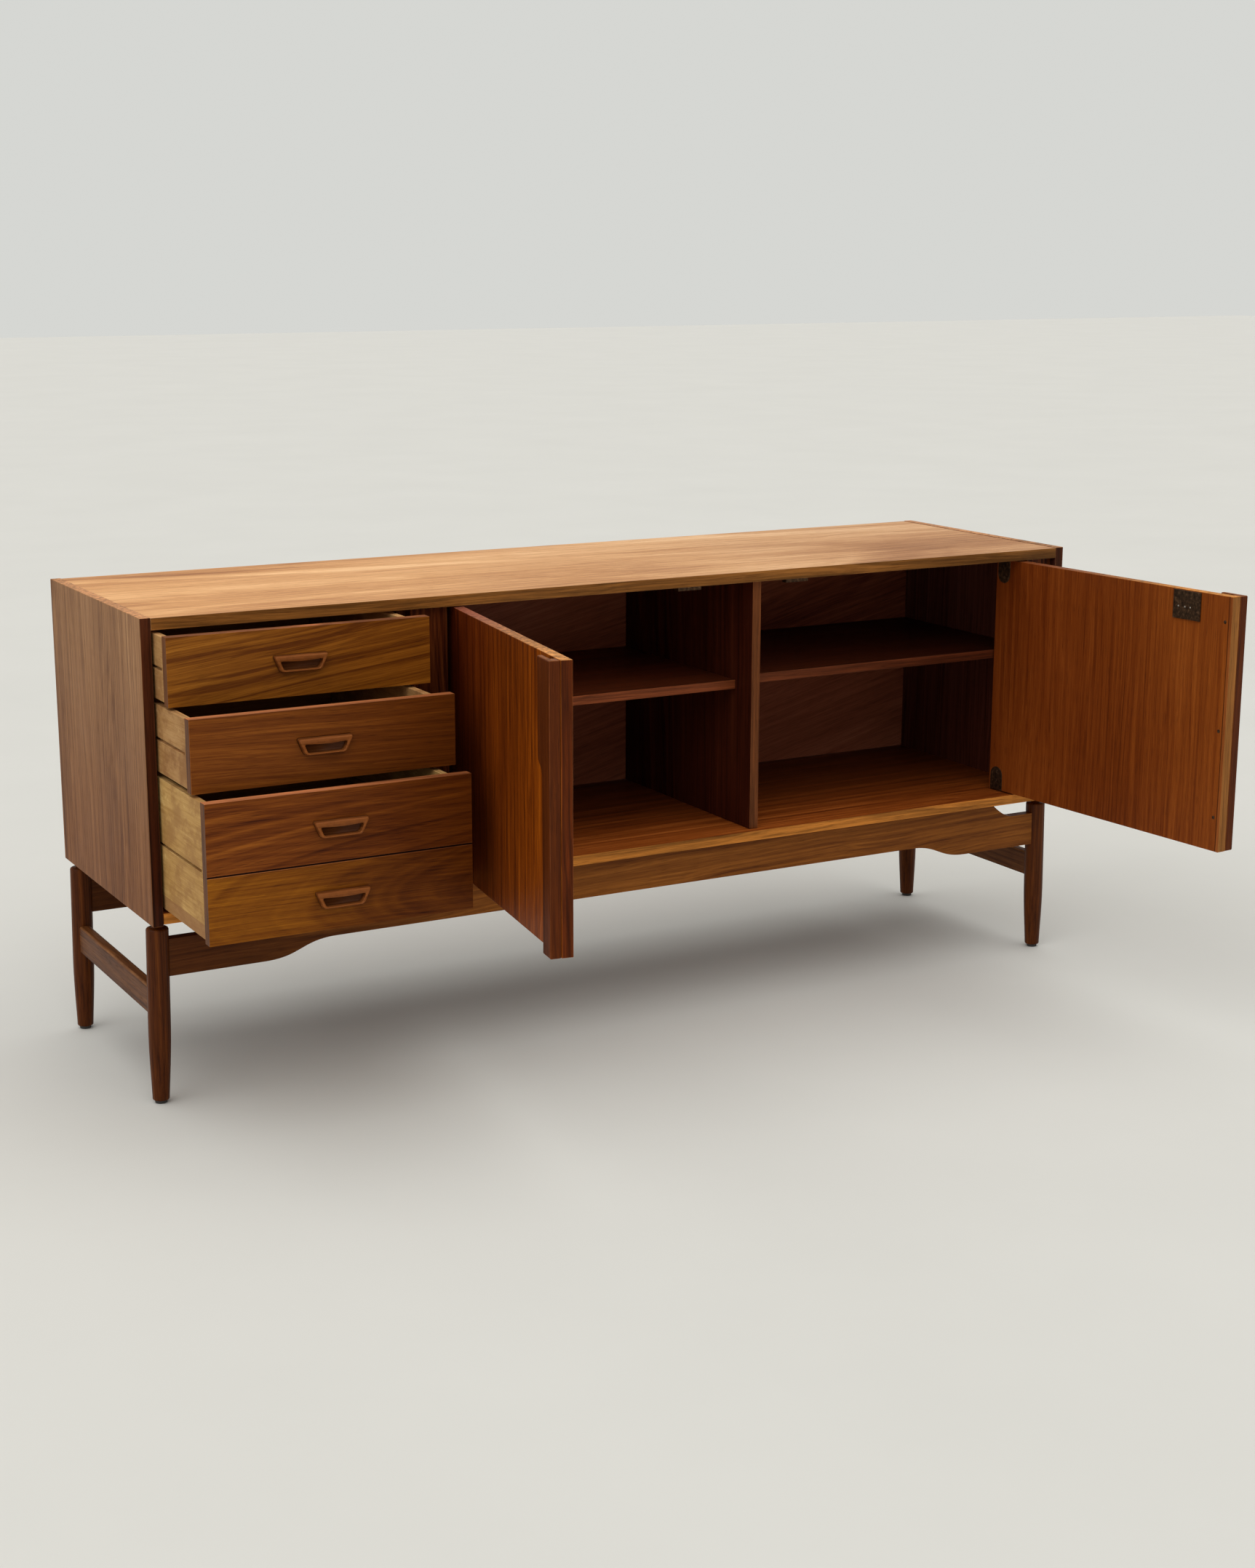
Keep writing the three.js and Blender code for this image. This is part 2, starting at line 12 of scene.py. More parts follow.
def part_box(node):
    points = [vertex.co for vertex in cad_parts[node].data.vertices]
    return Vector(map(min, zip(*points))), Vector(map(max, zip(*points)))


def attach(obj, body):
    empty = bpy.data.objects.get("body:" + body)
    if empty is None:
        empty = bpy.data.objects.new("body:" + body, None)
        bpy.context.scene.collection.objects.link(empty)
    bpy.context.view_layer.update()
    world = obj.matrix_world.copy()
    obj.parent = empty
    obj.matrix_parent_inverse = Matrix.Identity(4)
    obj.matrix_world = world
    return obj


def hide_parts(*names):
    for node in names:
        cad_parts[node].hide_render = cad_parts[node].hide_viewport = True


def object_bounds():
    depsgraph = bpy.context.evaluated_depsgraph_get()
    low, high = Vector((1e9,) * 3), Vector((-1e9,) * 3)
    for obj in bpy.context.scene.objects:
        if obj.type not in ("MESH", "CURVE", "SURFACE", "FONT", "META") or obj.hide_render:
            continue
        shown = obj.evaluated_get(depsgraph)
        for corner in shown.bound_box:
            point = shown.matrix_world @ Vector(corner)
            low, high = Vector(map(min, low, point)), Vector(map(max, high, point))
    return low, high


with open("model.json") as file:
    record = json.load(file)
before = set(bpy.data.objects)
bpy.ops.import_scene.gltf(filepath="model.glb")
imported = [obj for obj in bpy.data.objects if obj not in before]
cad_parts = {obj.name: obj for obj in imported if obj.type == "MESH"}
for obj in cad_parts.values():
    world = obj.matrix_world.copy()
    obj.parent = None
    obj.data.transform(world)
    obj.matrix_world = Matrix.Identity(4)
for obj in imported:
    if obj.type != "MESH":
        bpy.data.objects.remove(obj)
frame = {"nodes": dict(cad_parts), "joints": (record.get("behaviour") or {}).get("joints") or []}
cad_low, cad_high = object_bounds()
nodes = frame["nodes"]

MM = 0.001
X, Y, Z = 0, 1, 2


def srgb(red, green, blue):
    """A colour given as display values from 0 to 255, as linear light."""

    def linear(value):
        value /= 255
        return value / 12.92 if value <= 0.04045 else ((value + 0.055) / 1.055) ** 2.4

    return (linear(red), linear(green), linear(blue), 1.0)


# ---- camera, floor and light ---------------------------------------------------------------------

CAMERA_PLACE = Vector((-2.0210, -3.5014, 1.3924))
CAMERA_YAW = math.radians(29.298)
CAMERA_PITCH = math.radians(-13.155)
CAMERA_ROLL = math.radians(0.14)
LENS = 53.64


def build_camera():
    data = bpy.data.cameras.new("camera")
    data.lens = LENS
    data.sensor_width = 36.0
    data.clip_end = 100.0
    camera = bpy.data.objects.new("camera", data)
    bpy.context.collection.objects.link(camera)
    level = math.cos(CAMERA_PITCH)
    forward = Vector(
        (math.sin(CAMERA_YAW) * level, math.cos(CAMERA_YAW) * level, math.sin(CAMERA_PITCH))
    )
    right = Vector((math.cos(CAMERA_YAW), -math.sin(CAMERA_YAW), 0))
    up = right.cross(forward)
    tilted_right = right * math.cos(CAMERA_ROLL) + up * math.sin(CAMERA_ROLL)
    tilted_up = up * math.cos(CAMERA_ROLL) - right * math.sin(CAMERA_ROLL)
    turn = Matrix((tilted_right, tilted_up, -forward)).transposed()
    camera.matrix_world = Matrix.Translation(CAMERA_PLACE) @ turn.to_4x4()
    bpy.context.scene.camera = camera


def soft_light(name, direction, spread, power, colour=(1, 1, 1)):
    """Light that falls along direction from a wide round patch of sky, spread degrees across."""
    data = bpy.data.lights.new(name, "SUN")
    data.angle = math.radians(spread)
    data.energy = power
    data.color = colour
    light = bpy.data.objects.new(name, data)
    light.rotation_euler = Vector(direction).to_track_quat("-Z", "Y").to_euler()
    bpy.context.collection.objects.link(light)


def build_floor():
    bpy.ops.mesh.primitive_plane_add(size=60)
    floor = bpy.context.object
    floor.name = "floor"
    graph = Graph("pale_floor")
    place = graph.point()
    cloud = graph.noise(place, (1.5, 1.5, 1.5), 4.0, 0.6)
    base = graph.ramp(cloud, [(0.3, srgb(212, 211, 206)), (0.7, srgb(215, 214, 209))])
    graph.put(base_color=base, roughness=0.7)
    floor.data.materials.append(graph.material)


def build_light():
    world = bpy.data.worlds.new("studio")
    world.use_nodes = True
    sky = world.node_tree.nodes
    links = world.node_tree.links
    height = sky.new("ShaderNodeSeparateXYZ")
    links.new(sky.new("ShaderNodeTexCoord").outputs["Generated"], height.inputs[0])
    glow = sky.new("ShaderNodeMapRange")
    glow.interpolation_type = "SMOOTHSTEP"
    links.new(height.outputs[Z], glow.inputs["Value"])
    for key, value in (("From Min", 0.10), ("From Max", 0.30), ("To Min", 0.9), ("To Max", 0.4)):
        glow.inputs[key].default_value = value
    background = sky["Background"]
    background.inputs["Color"].default_value = srgb(224, 225, 221)
    links.new(glow.outputs[0], background.inputs["Strength"])
    bpy.context.scene.world = world
    soft_light("ceiling", (0.10, 0.22, -1), 105, 2.3, (1.0, 0.985, 0.96))
    soft_light("left_window", (1.0, 0.35, -0.55), 60, 0.5, (0.97, 0.99, 1.0))
    bpy.context.scene.view_settings.view_transform = "Standard"


# ---- shader helper -------------------------------------------------------------------------------


class Graph:
    """A new material and the calls that add and join its shader nodes."""

    def __init__(self, name):
        self.material = bpy.data.materials.new(name)
        self.material.use_nodes = True
        self.tree = self.material.node_tree
        self.shader = self.tree.nodes["Principled BSDF"]

    def feed(self, socket, value):
        if isinstance(value, bpy.types.NodeSocket):
            self.tree.links.new(value, socket)
        else:
            socket.default_value = value

    def add(self, kind, inputs, **settings):
        node = self.tree.nodes.new("ShaderNode" + kind)
        for key, value in settings.items():
            setattr(node, key, value)
        for key, value in inputs.items():
            self.feed(node.inputs[key], value)
        return node

    def math(self, operation, a, b=0.0, c=0.0):
        return self.add("Math", {0: a, 1: b, 2: c}, operation=operation).outputs[0]

    def step(self, value, low, high, start=0.0, end=1.0):
        """Rises smoothly from start to end as value goes from low to high."""
        inputs = {"Value": value, "From Min": low, "From Max": high, "To Min": start, "To Max": end}
        return self.add("MapRange", inputs, interpolation_type="SMOOTHSTEP").outputs[0]

    def mix(self, factor, a, b, blend="MIX"):
        node = self.add("Mix", {0: factor, 6: a, 7: b}, data_type="RGBA", blend_type=blend)
        return node.outputs[2]

    def scaled(self, vector, scale):
        return self.add("VectorMath", {0: vector, 1: scale}, operation="MULTIPLY").outputs[0]

    def noise(self, vector, scale, detail=2.0, roughness=0.5):
        inputs = {"Vector": self.scaled(vector, scale), "Scale": 1.0, "Detail": detail}
        inputs["Roughness"] = roughness
        return self.add("TexNoise", inputs).outputs[0]

    def parts(self, vector):
        return self.add("SeparateXYZ", {0: vector}).outputs

    def joined(self, parts):
        return self.add("CombineXYZ", {axis: parts[axis] for axis in (X, Y, Z)}).outputs[0]

    def point(self):
        """The shaded point in the object's own coordinates."""
        return self.add("TexCoord", {}).outputs["Object"]

    def times(self, colour, tone):
        """A colour multiplied by a tone, which has four parts like any colour."""
        return self.mix(1.0, colour, tone, "MULTIPLY")

    def ramp(self, value, stops):
        node = self.add("ValToRGB", {0: value})
        elements = node.color_ramp.elements
        while len(elements) < len(stops):
            elements.new(1.0)
        for element, (place, colour) in zip(elements, stops):
            element.position = place
            element.color = colour
        return node.outputs[0]

    def bump(self, height, strength, distance):
        inputs = {"Height": height, "Strength": strength, "Distance": distance}
        self.feed(self.shader.inputs["Normal"], self.add("Bump", inputs).outputs[0])

    def put(self, **values):
        """Sets the shader's own sockets: base_color, roughness, metallic and so on."""
        for key, value in values.items():
            self.feed(self.shader.inputs[key.replace("_", " ").title().replace("Ior", "IOR")], value)


# ---- doors at rest -------------------------------------------------------------------------------


class Door:
    """Where a door's hinge axis is and how far the door stands open at rest."""

    def __init__(self, name, side):
        joint = next(j for j in frame["joints"] if j["child"] == name)
        self.name = name
        self.side = side
        self.pivot = Vector(joint["pos_m"])
        self.angle = side * math.radians(joint["range_deg"][0])

    def matrix(self):
        """Local x runs along the door, y is its inner side, z is the height above the floor."""
        base = Vector((self.pivot.x, self.pivot.y, 0))
        return Matrix.Translation(base) @ Matrix.Rotation(self.angle, 4, "Z")


DOORS = [Door("door_left", 1), Door("door_right", -1)]
LEFT_DOOR, RIGHT_DOOR = DOORS


# ---- wood ----------------------------------------------------------------------------------------


def board_space(graph, door, tilt, face):
    """The point and the surface direction in the board's own axes."""
    source = graph.add("TexCoord", {}).outputs
    place, normal = source["Object"], source["Normal"]
    if door:
        inputs = {"Center": door.pivot, "Angle": -door.angle}
        turned = graph.add("VectorRotate", {"Vector": place, **inputs}, rotation_type="Z_AXIS")
        place = turned.outputs[0]
        inputs["Center"] = (0, 0, 0)
        turned = graph.add("VectorRotate", {"Vector": normal, **inputs}, rotation_type="Z_AXIS")
        normal = turned.outputs[0]
    if tilt:
        kind = "XYZ"[face] + "_AXIS"
        inputs = {"Vector": place, "Angle": math.radians(tilt)}
        place = graph.add("VectorRotate", inputs, rotation_type=kind).outputs[0]
    return place, normal


def tree_rings(graph, place, grain, face, pith, slope, rings):
    """Distance from a pith line that leans towards the board's face, counted in rings."""
    parts = graph.parts(place)
    cross = 3 - grain - face
    beside = graph.math("SUBTRACT", parts[cross], pith[1])
    along = graph.math("SUBTRACT", parts[grain], pith[0])
    under = graph.math("MULTIPLY_ADD", along, slope, parts[face])
    square = graph.math("MULTIPLY_ADD", beside, beside, graph.math("MULTIPLY", under, under))
    return graph.math("MULTIPLY", graph.math("SQRT", square), rings)


def wood(
    name,
    tones,
    grain,
    face,
    pith=(0.0, 3.0),
    slope=0.06,
    rings=70.0,
    swirl=4.0,
    figure=0.32,
    streak=0.9,
    broad=0.5,
    edges=None,
    worn=None,
    wear=0.6,
    rough=0.42,
    pores=0.45,
    seed=0.0,
    door=None,
    tilt=0.0,
    extra=None,
):
    """Figured wood: tree rings and their waver, long streaks, fibres, pores and rubbed arrises.

    tones run from dark to light; grain and face are the axes of the fibres and of the broad face;
    edges gives the colour of faces that look along other axes; extra repaints the colour last."""
    graph = Graph(name)
    place, normal = board_space(graph, door, tilt, face)
    shifted = graph.add("VectorMath", {0: place, 1: (seed, seed * 1.7, seed * 0.6)}).outputs[0]

    def along_grain(along, across):
        return [along if axis == grain else across for axis in range(3)]

    waver = graph.noise(shifted, along_grain(1.3, 6.0), 2.0, 0.5)
    phase = tree_rings(graph, place, grain, face, pith, slope, rings)
    phase = graph.math("MULTIPLY_ADD", waver, swirl, phase)
    layers = {"W": phase, "Scale": 1.0, "Detail": 3.0, "Roughness": 0.7}
    ring = graph.add("TexNoise", layers, noise_dimensions="1D").outputs[0]
    bend = graph.math("MULTIPLY_ADD", waver, 0.06, -0.03)
    sideways = graph.add("VectorMath", {0: along_grain(0.0, 1.0), "Scale": bend}, operation="SCALE")
    bent = graph.add("VectorMath", {0: shifted, 1: sideways.outputs[0]}).outputs[0]
    streaks = graph.noise(bent, along_grain(1.6, 170.0), 5.0, 0.62)
    fibres = graph.noise(shifted, along_grain(14.0, 900.0), 2.0, 0.5)
    patches = graph.noise(shifted, along_grain(0.7, 4.0), 1.5, 0.5)
    clarity = graph.step(graph.noise(shifted, along_grain(0.9, 9.0), 2.0), 0.3, 0.7, 0.15, 1.0)

    ring = graph.math("MULTIPLY", graph.math("SUBTRACT", ring, 0.5), clarity)
    value = graph.math("MULTIPLY_ADD", ring, figure * 3.2, 0.5)
    value = graph.math("MULTIPLY_ADD", graph.math("SUBTRACT", streaks, 0.5), streak, value)
    value = graph.math("MULTIPLY_ADD", graph.math("SUBTRACT", fibres, 0.5), 0.35, value)
    value = graph.math("MULTIPLY_ADD", graph.math("SUBTRACT", patches, 0.5), broad, value)
    last = len(tones) - 1
    stops = [(0.2 + 0.6 * i / last, srgb(*tone)) for i, tone in enumerate(tones)]
    colour = graph.ramp(value, stops)

    towards = graph.parts(normal)
    facing = [graph.math("ABSOLUTE", part) for part in towards]
    tint = graph.step(value, 0.25, 0.75, 0.45, 1.5)
    for axis, edge in (edges or {}).items():
        shade = graph.times(srgb(*edge), tint)
        colour = graph.mix(graph.step(facing[axis], 0.6, 0.85), colour, shade)

    pore_noise = graph.noise(shifted, along_grain(30.0, 1500.0), 1.0, 0.5)
    pore = graph.step(pore_noise, 0.6, 0.7)
    colour = graph.mix(graph.math("MULTIPLY", pore, pores), colour, srgb(*tones[0]), "MULTIPLY")

    flattest = graph.math("MAXIMUM", facing[0], graph.math("MAXIMUM", facing[1], facing[2]))
    arris = graph.step(flattest, 0.985, 0.86)
    rub = graph.step(graph.noise(shifted, (22, 22, 22), 3.0, 0.6), 0.35, 0.62, 0.35, 1.0)
    rubbed = graph.math("MULTIPLY", graph.math("MULTIPLY", arris, rub), wear)
    colour = graph.mix(rubbed, colour, srgb(*(worn or tones[-1])))
    if extra:
        colour = extra(graph, colour, graph.parts(place), towards)

    smudge = graph.noise(shifted, (5, 5, 5), 3.0, 0.6)
    gloss = graph.math("MULTIPLY_ADD", smudge, 0.16, rough - 0.08)
    gloss = graph.math("MULTIPLY_ADD", pore, 0.15, gloss)
    relief = graph.math("MULTIPLY_ADD", fibres, 0.5, graph.math("MULTIPLY", streaks, 0.6))
    relief = graph.math("SUBTRACT", relief, graph.math("MULTIPLY", pore, 0.5))
    graph.put(base_color=colour, roughness=gloss, specular_IOR_level=0.08)
    graph.bump(relief, 0.35, 0.25 * MM)
    return graph.material


# ---- mesh helpers --------------------------------------------------------------------------------


def smooth_group():
    """A modifier group that shades every face smooth."""
    group = bpy.data.node_groups.new("shade_smooth", "GeometryNodeTree")
    group.interface.new_socket("Geometry", in_out="INPUT", socket_type="NodeSocketGeometry")
    group.interface.new_socket("Geometry", in_out="OUTPUT", socket_type="NodeSocketGeometry")
    start = group.nodes.new("NodeGroupInput")
    smooth = group.nodes.new("GeometryNodeSetShadeSmooth")
    end = group.nodes.new("NodeGroupOutput")
    group.links.new(start.outputs[0], smooth.inputs["Geometry"])
    group.links.new(smooth.outputs[0], end.inputs[0])
    return group


SMOOTH = smooth_group()


def soften(obj, width, segments=3):
    """Rounds the arrises of a flat-faced board."""
    obj.modifiers.new("smooth", "NODES").node_group = SMOOTH
    obj.modifiers.new("weld", "WELD").merge_threshold = 0.01 * MM
    planar = obj.modifiers.new("planar", "DECIMATE")
    planar.decimate_type = "DISSOLVE"
    planar.angle_limit = math.radians(1)
    bevel = obj.modifiers.new("bevel", "BEVEL")
    bevel.width = width
    bevel.segments = segments
    bevel.limit_method = "ANGLE"
    bevel.angle_limit = math.radians(35)
    bevel.use_clamp_overlap = True
    normals = obj.modifiers.new("normals", "WEIGHTED_NORMAL")
    normals.weight = 100
    normals.keep_sharp = False


def dress(names, material, width=1.0 * MM, segments=3):
    """Gives CAD nodes their material and soft arrises."""
    for name in names:
        obj = nodes[name]
        obj.data.materials.clear()
        obj.data.materials.append(material)
        soften(obj, width, segments)


def new_piece(name, mesh, material, body, place=None):
    for polygon in mesh.polygons:
        polygon.use_smooth = True
    mesh.materials.append(material)
    obj = bpy.data.objects.new(name, mesh)
    bpy.context.collection.objects.link(obj)
    if place is not None:
        obj.matrix_world = place
    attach(obj, body)
    return obj


def loft(name, loops):
    """A closed skin over loops of equal length; the first and last loops are capped."""
    mesh = bpy.data.meshes.new(name)
    shape = bmesh.new()
    rows = [[shape.verts.new(point) for point in loop] for loop in loops]
    count = len(rows[0])
    for low, high in zip(rows, rows[1:]):
        for i in range(count):
            j = (i + 1) % count
            shape.faces.new((low[i], low[j], high[j], high[i]))
    shape.faces.new(list(reversed(rows[0])))
    shape.faces.new(rows[-1])
    bmesh.ops.recalc_face_normals(shape, faces=shape.faces)
    shape.to_mesh(mesh)
    shape.free()
    return mesh


def ring(radius, height, segments):
    steps = [2 * math.pi * i / segments for i in range(segments)]
    return [Vector((radius * math.cos(a), radius * math.sin(a), height)) for a in steps]


def lathe(name, profile, segments=64):
    """A turned solid from (radius, height) pairs; both ends are small flat caps."""
    return loft(name, [ring(radius, height, segments) for radius, height in profile])


def arc_profile(centre_radius, centre_height, radius, start, end, steps=5):
    """Profile points round a quarter turn, with angles in degrees from level."""
    points = []
    for i in range(steps + 1):
        angle = math.radians(start + (end - start) * i / steps)
        reach = centre_radius + radius * math.cos(angle)
        points.append((reach, centre_height + radius * math.sin(angle)))
    return points


# ---- base ----------------------------------------------------------------------------------------

FOOT_RADIUS = 14.0 * MM
FOOT_EASE = 2.5 * MM
NECK_RADIUS = 9.0 * MM
SHOULDER = 4.0 * MM
LEG_TOP = 300 * MM
LEG_BELLY = 135 * MM
LEG_RADIUS = 18.5 * MM
BELLY_STEPS = 12
LEG_LEAN = 6 * MM / LEG_TOP


def build_leg(place, material):
    """A turned leg that swells to its belly, leans inwards and ends in a short neck."""
    name = "leg_" + place
    low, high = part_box(name)
    foot_low, foot_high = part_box("glide_" + place)
    centre = (foot_low + foot_high) / 2
    profile = [(1 * MM, low.z)]
    profile += arc_profile(FOOT_RADIUS - FOOT_EASE, low.z + FOOT_EASE, FOOT_EASE, -90, -8)
    for i in range(1, BELLY_STEPS + 1):
        share = i / BELLY_STEPS
        swell = math.sin(share * math.pi / 2) ** 1.15
        height = low.z + FOOT_EASE + (LEG_BELLY - low.z - FOOT_EASE) * share
        profile.append((FOOT_RADIUS + (LEG_RADIUS - FOOT_RADIUS) * swell, height))
    profile.append((LEG_RADIUS, LEG_TOP - SHOULDER))
    profile += arc_profile(LEG_RADIUS - SHOULDER, LEG_TOP - SHOULDER, SHOULDER, 10, 82)
    profile += [(NECK_RADIUS + 1 * MM, LEG_TOP), (NECK_RADIUS, LEG_TOP + 0.5 * MM)]
    profile.append((NECK_RADIUS, high.z))
    mesh = lathe(name + "_turned", profile)
    inwards = -math.copysign(LEG_LEAN, centre.x)
    for vertex in mesh.vertices:
        vertex.co.x += inwards * vertex.co.z
    spot = Matrix.Translation((centre.x, centre.y, 0))
    leg = new_piece(name + "_turned", mesh, material, "case", spot)
    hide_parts(name)


# ---- drawer grips --------------------------------------------------------------------------------

GRIP_TOP = 93 * MM
GRIP_BOTTOM = 69 * MM
GRIP_CORNER = 5 * MM
GRIP_BAR = 9 * MM
GRIP_SIDE = 6 * MM
GRIP_LOWER = 3.5 * MM
GRIP_SAG = 1.6 * MM
GRIP_PROUD = 11 * MM
CORNER_STEPS = 6
SIDE_STEPS = 10


def trapezoid(top, bottom, upper, lower, corner, depth, sag=0.0):
    """A loop wider at its top, with round corners, at one depth; sag lowers the top's middle."""
    corners = [(-top / 2, upper), (-bottom / 2, lower), (bottom / 2, lower), (top / 2, upper)]
    corners = [Vector(point) for point in corners]
    loop = []
    for i, point in enumerate(corners):
        before = point + (corners[i - 1] - point).normalized() * corner
        after = point + (corners[(i + 1) % 4] - point).normalized() * corner
        for k in range(CORNER_STEPS + 1):
            t = k / CORNER_STEPS
            loop.append(before.lerp(point, t).lerp(point.lerp(after, t), t))
        following = corners[(i + 1) % 4]
        start = after
        end = following + (point - following).normalized() * corner
        for k in range(1, SIDE_STEPS):
            t = k / SIDE_STEPS
            along = start.lerp(end, t)
            if i == 3:
                along.y -= sag * math.sin(math.pi * t)
            loop.append(along)
    return [Vector((point.x, depth, point.y)) for point in loop]


def build_grip(name, front, material):
    """A raised rim round a pocket, lofted from its back edge over its crown and down inside."""
    low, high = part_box(name)
    height = high.z - low.z
    slope = (GRIP_TOP - GRIP_BOTTOM) / height
    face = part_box(front)[0].y

    def outer(shrink, depth):
        return trapezoid(
            GRIP_TOP - 2 * shrink,
            GRIP_BOTTOM - 2 * shrink,
            -shrink,
            shrink - height,
            GRIP_CORNER,
            depth,
        )

    def pocket(grow, depth):
        return trapezoid(
            GRIP_TOP - 2 * GRIP_SIDE - slope * GRIP_BAR + 2 * grow,
            GRIP_BOTTOM - 2 * GRIP_SIDE + slope * GRIP_LOWER + 2 * grow,
            grow - GRIP_BAR,
            GRIP_LOWER - height - grow,
            GRIP_CORNER * 0.8,
            depth,
            GRIP_SAG,
        )

    crown = -GRIP_PROUD
    loops = [
        outer(0, 1 * MM),
        outer(0, -1 * MM),
        outer(0.2 * MM, crown * 0.5),
        outer(0.5 * MM, crown * 0.75),
        outer(1.0 * MM, crown * 0.9),
        outer(1.9 * MM, crown * 0.98),
        outer(2.6 * MM, crown),
        pocket(0.9 * MM, crown * 0.99),
        pocket(0.4 * MM, crown * 0.94),
        pocket(0.1 * MM, crown * 0.86),
        pocket(0, crown * 0.7),
        pocket(-0.3 * MM, 2.5 * MM),
        pocket(-0.9 * MM, 4.0 * MM),
        pocket(-2.2 * MM, 4.5 * MM),
    ]
    mesh = loft(name + "_carved", loops)
    place = Matrix.Translation(((low.x + high.x) / 2, face, high.z))
    body = front.rsplit("_", 1)[0]
    grip = new_piece(name + "_carved", mesh, material, body, place)
    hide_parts(name)


# ---- metal fittings ------------------------------------------------------------------------------

ROUND_STEPS = 20
SLOT_SHARE = 0.22


def metal(name, colour, rough, light=None):
    """Aged metal: cloudy tarnish and fine scratches."""
    graph = Graph(name)
    place = graph.point()
    cloud = graph.noise(place, (180, 180, 180), 4.0, 0.6)
    scratch = graph.noise(place, (60, 60, 2500), 2.0, 0.5)
    dark = tuple(int(part * 0.55) for part in colour)
    bright = light or tuple(min(255, int(part * 1.35)) for part in colour)
    stops = [(0.3, srgb(*dark)), (0.55, srgb(*colour)), (0.75, srgb(*bright))]
    base = graph.ramp(cloud, stops)
    spread = graph.math("MULTIPLY_ADD", scratch, 0.25, rough - 0.1)
    graph.put(base_color=base, roughness=spread, metallic=0.85)
    graph.bump(scratch, 0.2, 0.1 * MM)
    return graph.material


def screw_mesh(name, radius, rise):
    """A round head with a straight slot: a disc below and two half discs above it."""
    mesh = bpy.data.meshes.new(name)
    shape = bmesh.new()
    steps = ROUND_STEPS

    def prism(points, low, high):
        bottom = [shape.verts.new((x, y, low)) for x, y in points]
        top = [shape.verts.new((x * 0.94, y * 0.94, high)) for x, y in points]
        count = len(points)
        for i in range(count):
            j = (i + 1) % count
            shape.faces.new((bottom[i], bottom[j], top[j], top[i]))
        shape.faces.new(list(reversed(bottom)))
        shape.faces.new(top)

    circle = [
        (radius * math.cos(2 * math.pi * i / steps), radius * math.sin(2 * math.pi * i / steps))
        for i in range(steps)
    ]
    prism(circle, -0.6 * MM, rise * 0.4)
    edge = math.asin(SLOT_SHARE)
    for side in (1, -1):
        half = []
        for i in range(steps // 2 + 1):
            angle = edge + (math.pi - 2 * edge) * i / (steps // 2)
            half.append((side * radius * math.cos(angle), side * radius * math.sin(angle)))
        prism(half, rise * 0.4 + 0.02 * MM, rise)
    bmesh.ops.recalc_face_normals(shape, faces=shape.faces)
    shape.to_mesh(mesh)
    shape.free()
    return mesh


def facing_matrix(place, direction):
    """Puts local +Z along direction."""
    turn = Vector(direction).to_track_quat("Z", "Y").to_matrix().to_4x4()
    return Matrix.Translation(place) @ turn


def dome_mesh(name, radius, rise):
    """A low round head whose straight rim is sunk into the face."""
    profile = [(radius, -0.5 * MM), (radius, 0.0)]
    profile += [
        (max(radius * math.cos(math.radians(a)), 0.05 * MM), rise * math.sin(math.radians(a)))
        for a in (20, 40, 60, 78, 88)
    ]
    return lathe(name, profile, ROUND_STEPS)


# ---- materials -----------------------------------------------------------------------------------

DARK_TEAK = [(33, 12, 3), (60, 26, 7), (84, 41, 12), (106, 56, 18)]
STRETCHER_TEAK = [(52, 24, 9), (86, 48, 22), (112, 68, 34), (136, 90, 50)]
PULL_TEAK = [(48, 18, 3), (74, 31, 6), (92, 41, 9), (112, 54, 16)]
FALSE_JOINT_Z = 441 * MM  # the groove that makes the deep drawer look like two
DOOR_REACH = 582 * MM  # from a door's hinge axis to its free edge
LIPPING = 7 * MM
STAINED_FOOT = 24 * MM  # the browner strip along the foot of the deep drawer's sides


def side_on(graph, towards, axis, sign):
    """1 on faces that look along one signed axis."""
    return graph.step(graph.math("MULTIPLY", towards[axis], sign), 0.6, 0.85)


def fade(axis, start, end, near, far):
    """A tone that turns from near to far between two places on one axis."""

    def paint(graph, colour, place, towards):
        along = graph.step(place[axis], start, end)
        tone = graph.mix(along, (*near, 1), (*far, 1))
        return graph.times(colour, tone)

    return paint


def front_painted_light_and_core(left, right):
    """Paints a drawer front lighter or darker from left to right, as painted light; its ends show its
    core.

    All three fronts stand over the same width, so one front's box serves them all."""
    low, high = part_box("drawer_top_front")
    near, far = (left, left, left), (right, right * 0.9, right * 0.75)

    def paint(graph, colour, place, towards):
        colour = fade(X, low.x, high.x, near, far)(graph, colour, place, towards)
        spot = graph.joined(place)
        layers = graph.noise(spot, (3, 300, 14), 2.0, 0.5)
        core = graph.ramp(layers, [(0.3, srgb(62, 32, 12)), (0.7, srgb(112, 66, 30))])
        ends = graph.step(graph.math("ABSOLUTE", towards[X]), 0.6, 0.85)
        return graph.mix(ends, colour, core)

    return paint


def deep_front(graph, colour, place, towards):
    """The deep front's lower veneer leaf is more golden than its upper one, and is painted lighter at
    its left end as painted light.
    """
    lower = graph.step(place[Z], FALSE_JOINT_Z + 0.5 * MM, FALSE_JOINT_Z - 0.5 * MM)
    low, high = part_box("drawer_deep_front")
    golden_and_painted_light = fade(X, low.x, high.x, (1.4, 1.75, 0.8), (1.0, 1.05, 0.8))
    golden = golden_and_painted_light(graph, colour, place, towards)
    face = side_on(graph, towards, Y, -1)
    colour = graph.mix(graph.math("MULTIPLY", lower, face), colour, golden)
    gap = graph.math("ABSOLUTE", graph.math("SUBTRACT", place[Z], FALSE_JOINT_Z))
    colour = graph.mix(graph.step(gap, 1.7 * MM, 1.2 * MM), colour, srgb(30, 11, 4))
    return front_painted_light_and_core(1.15, 0.72)(graph, colour, place, towards)


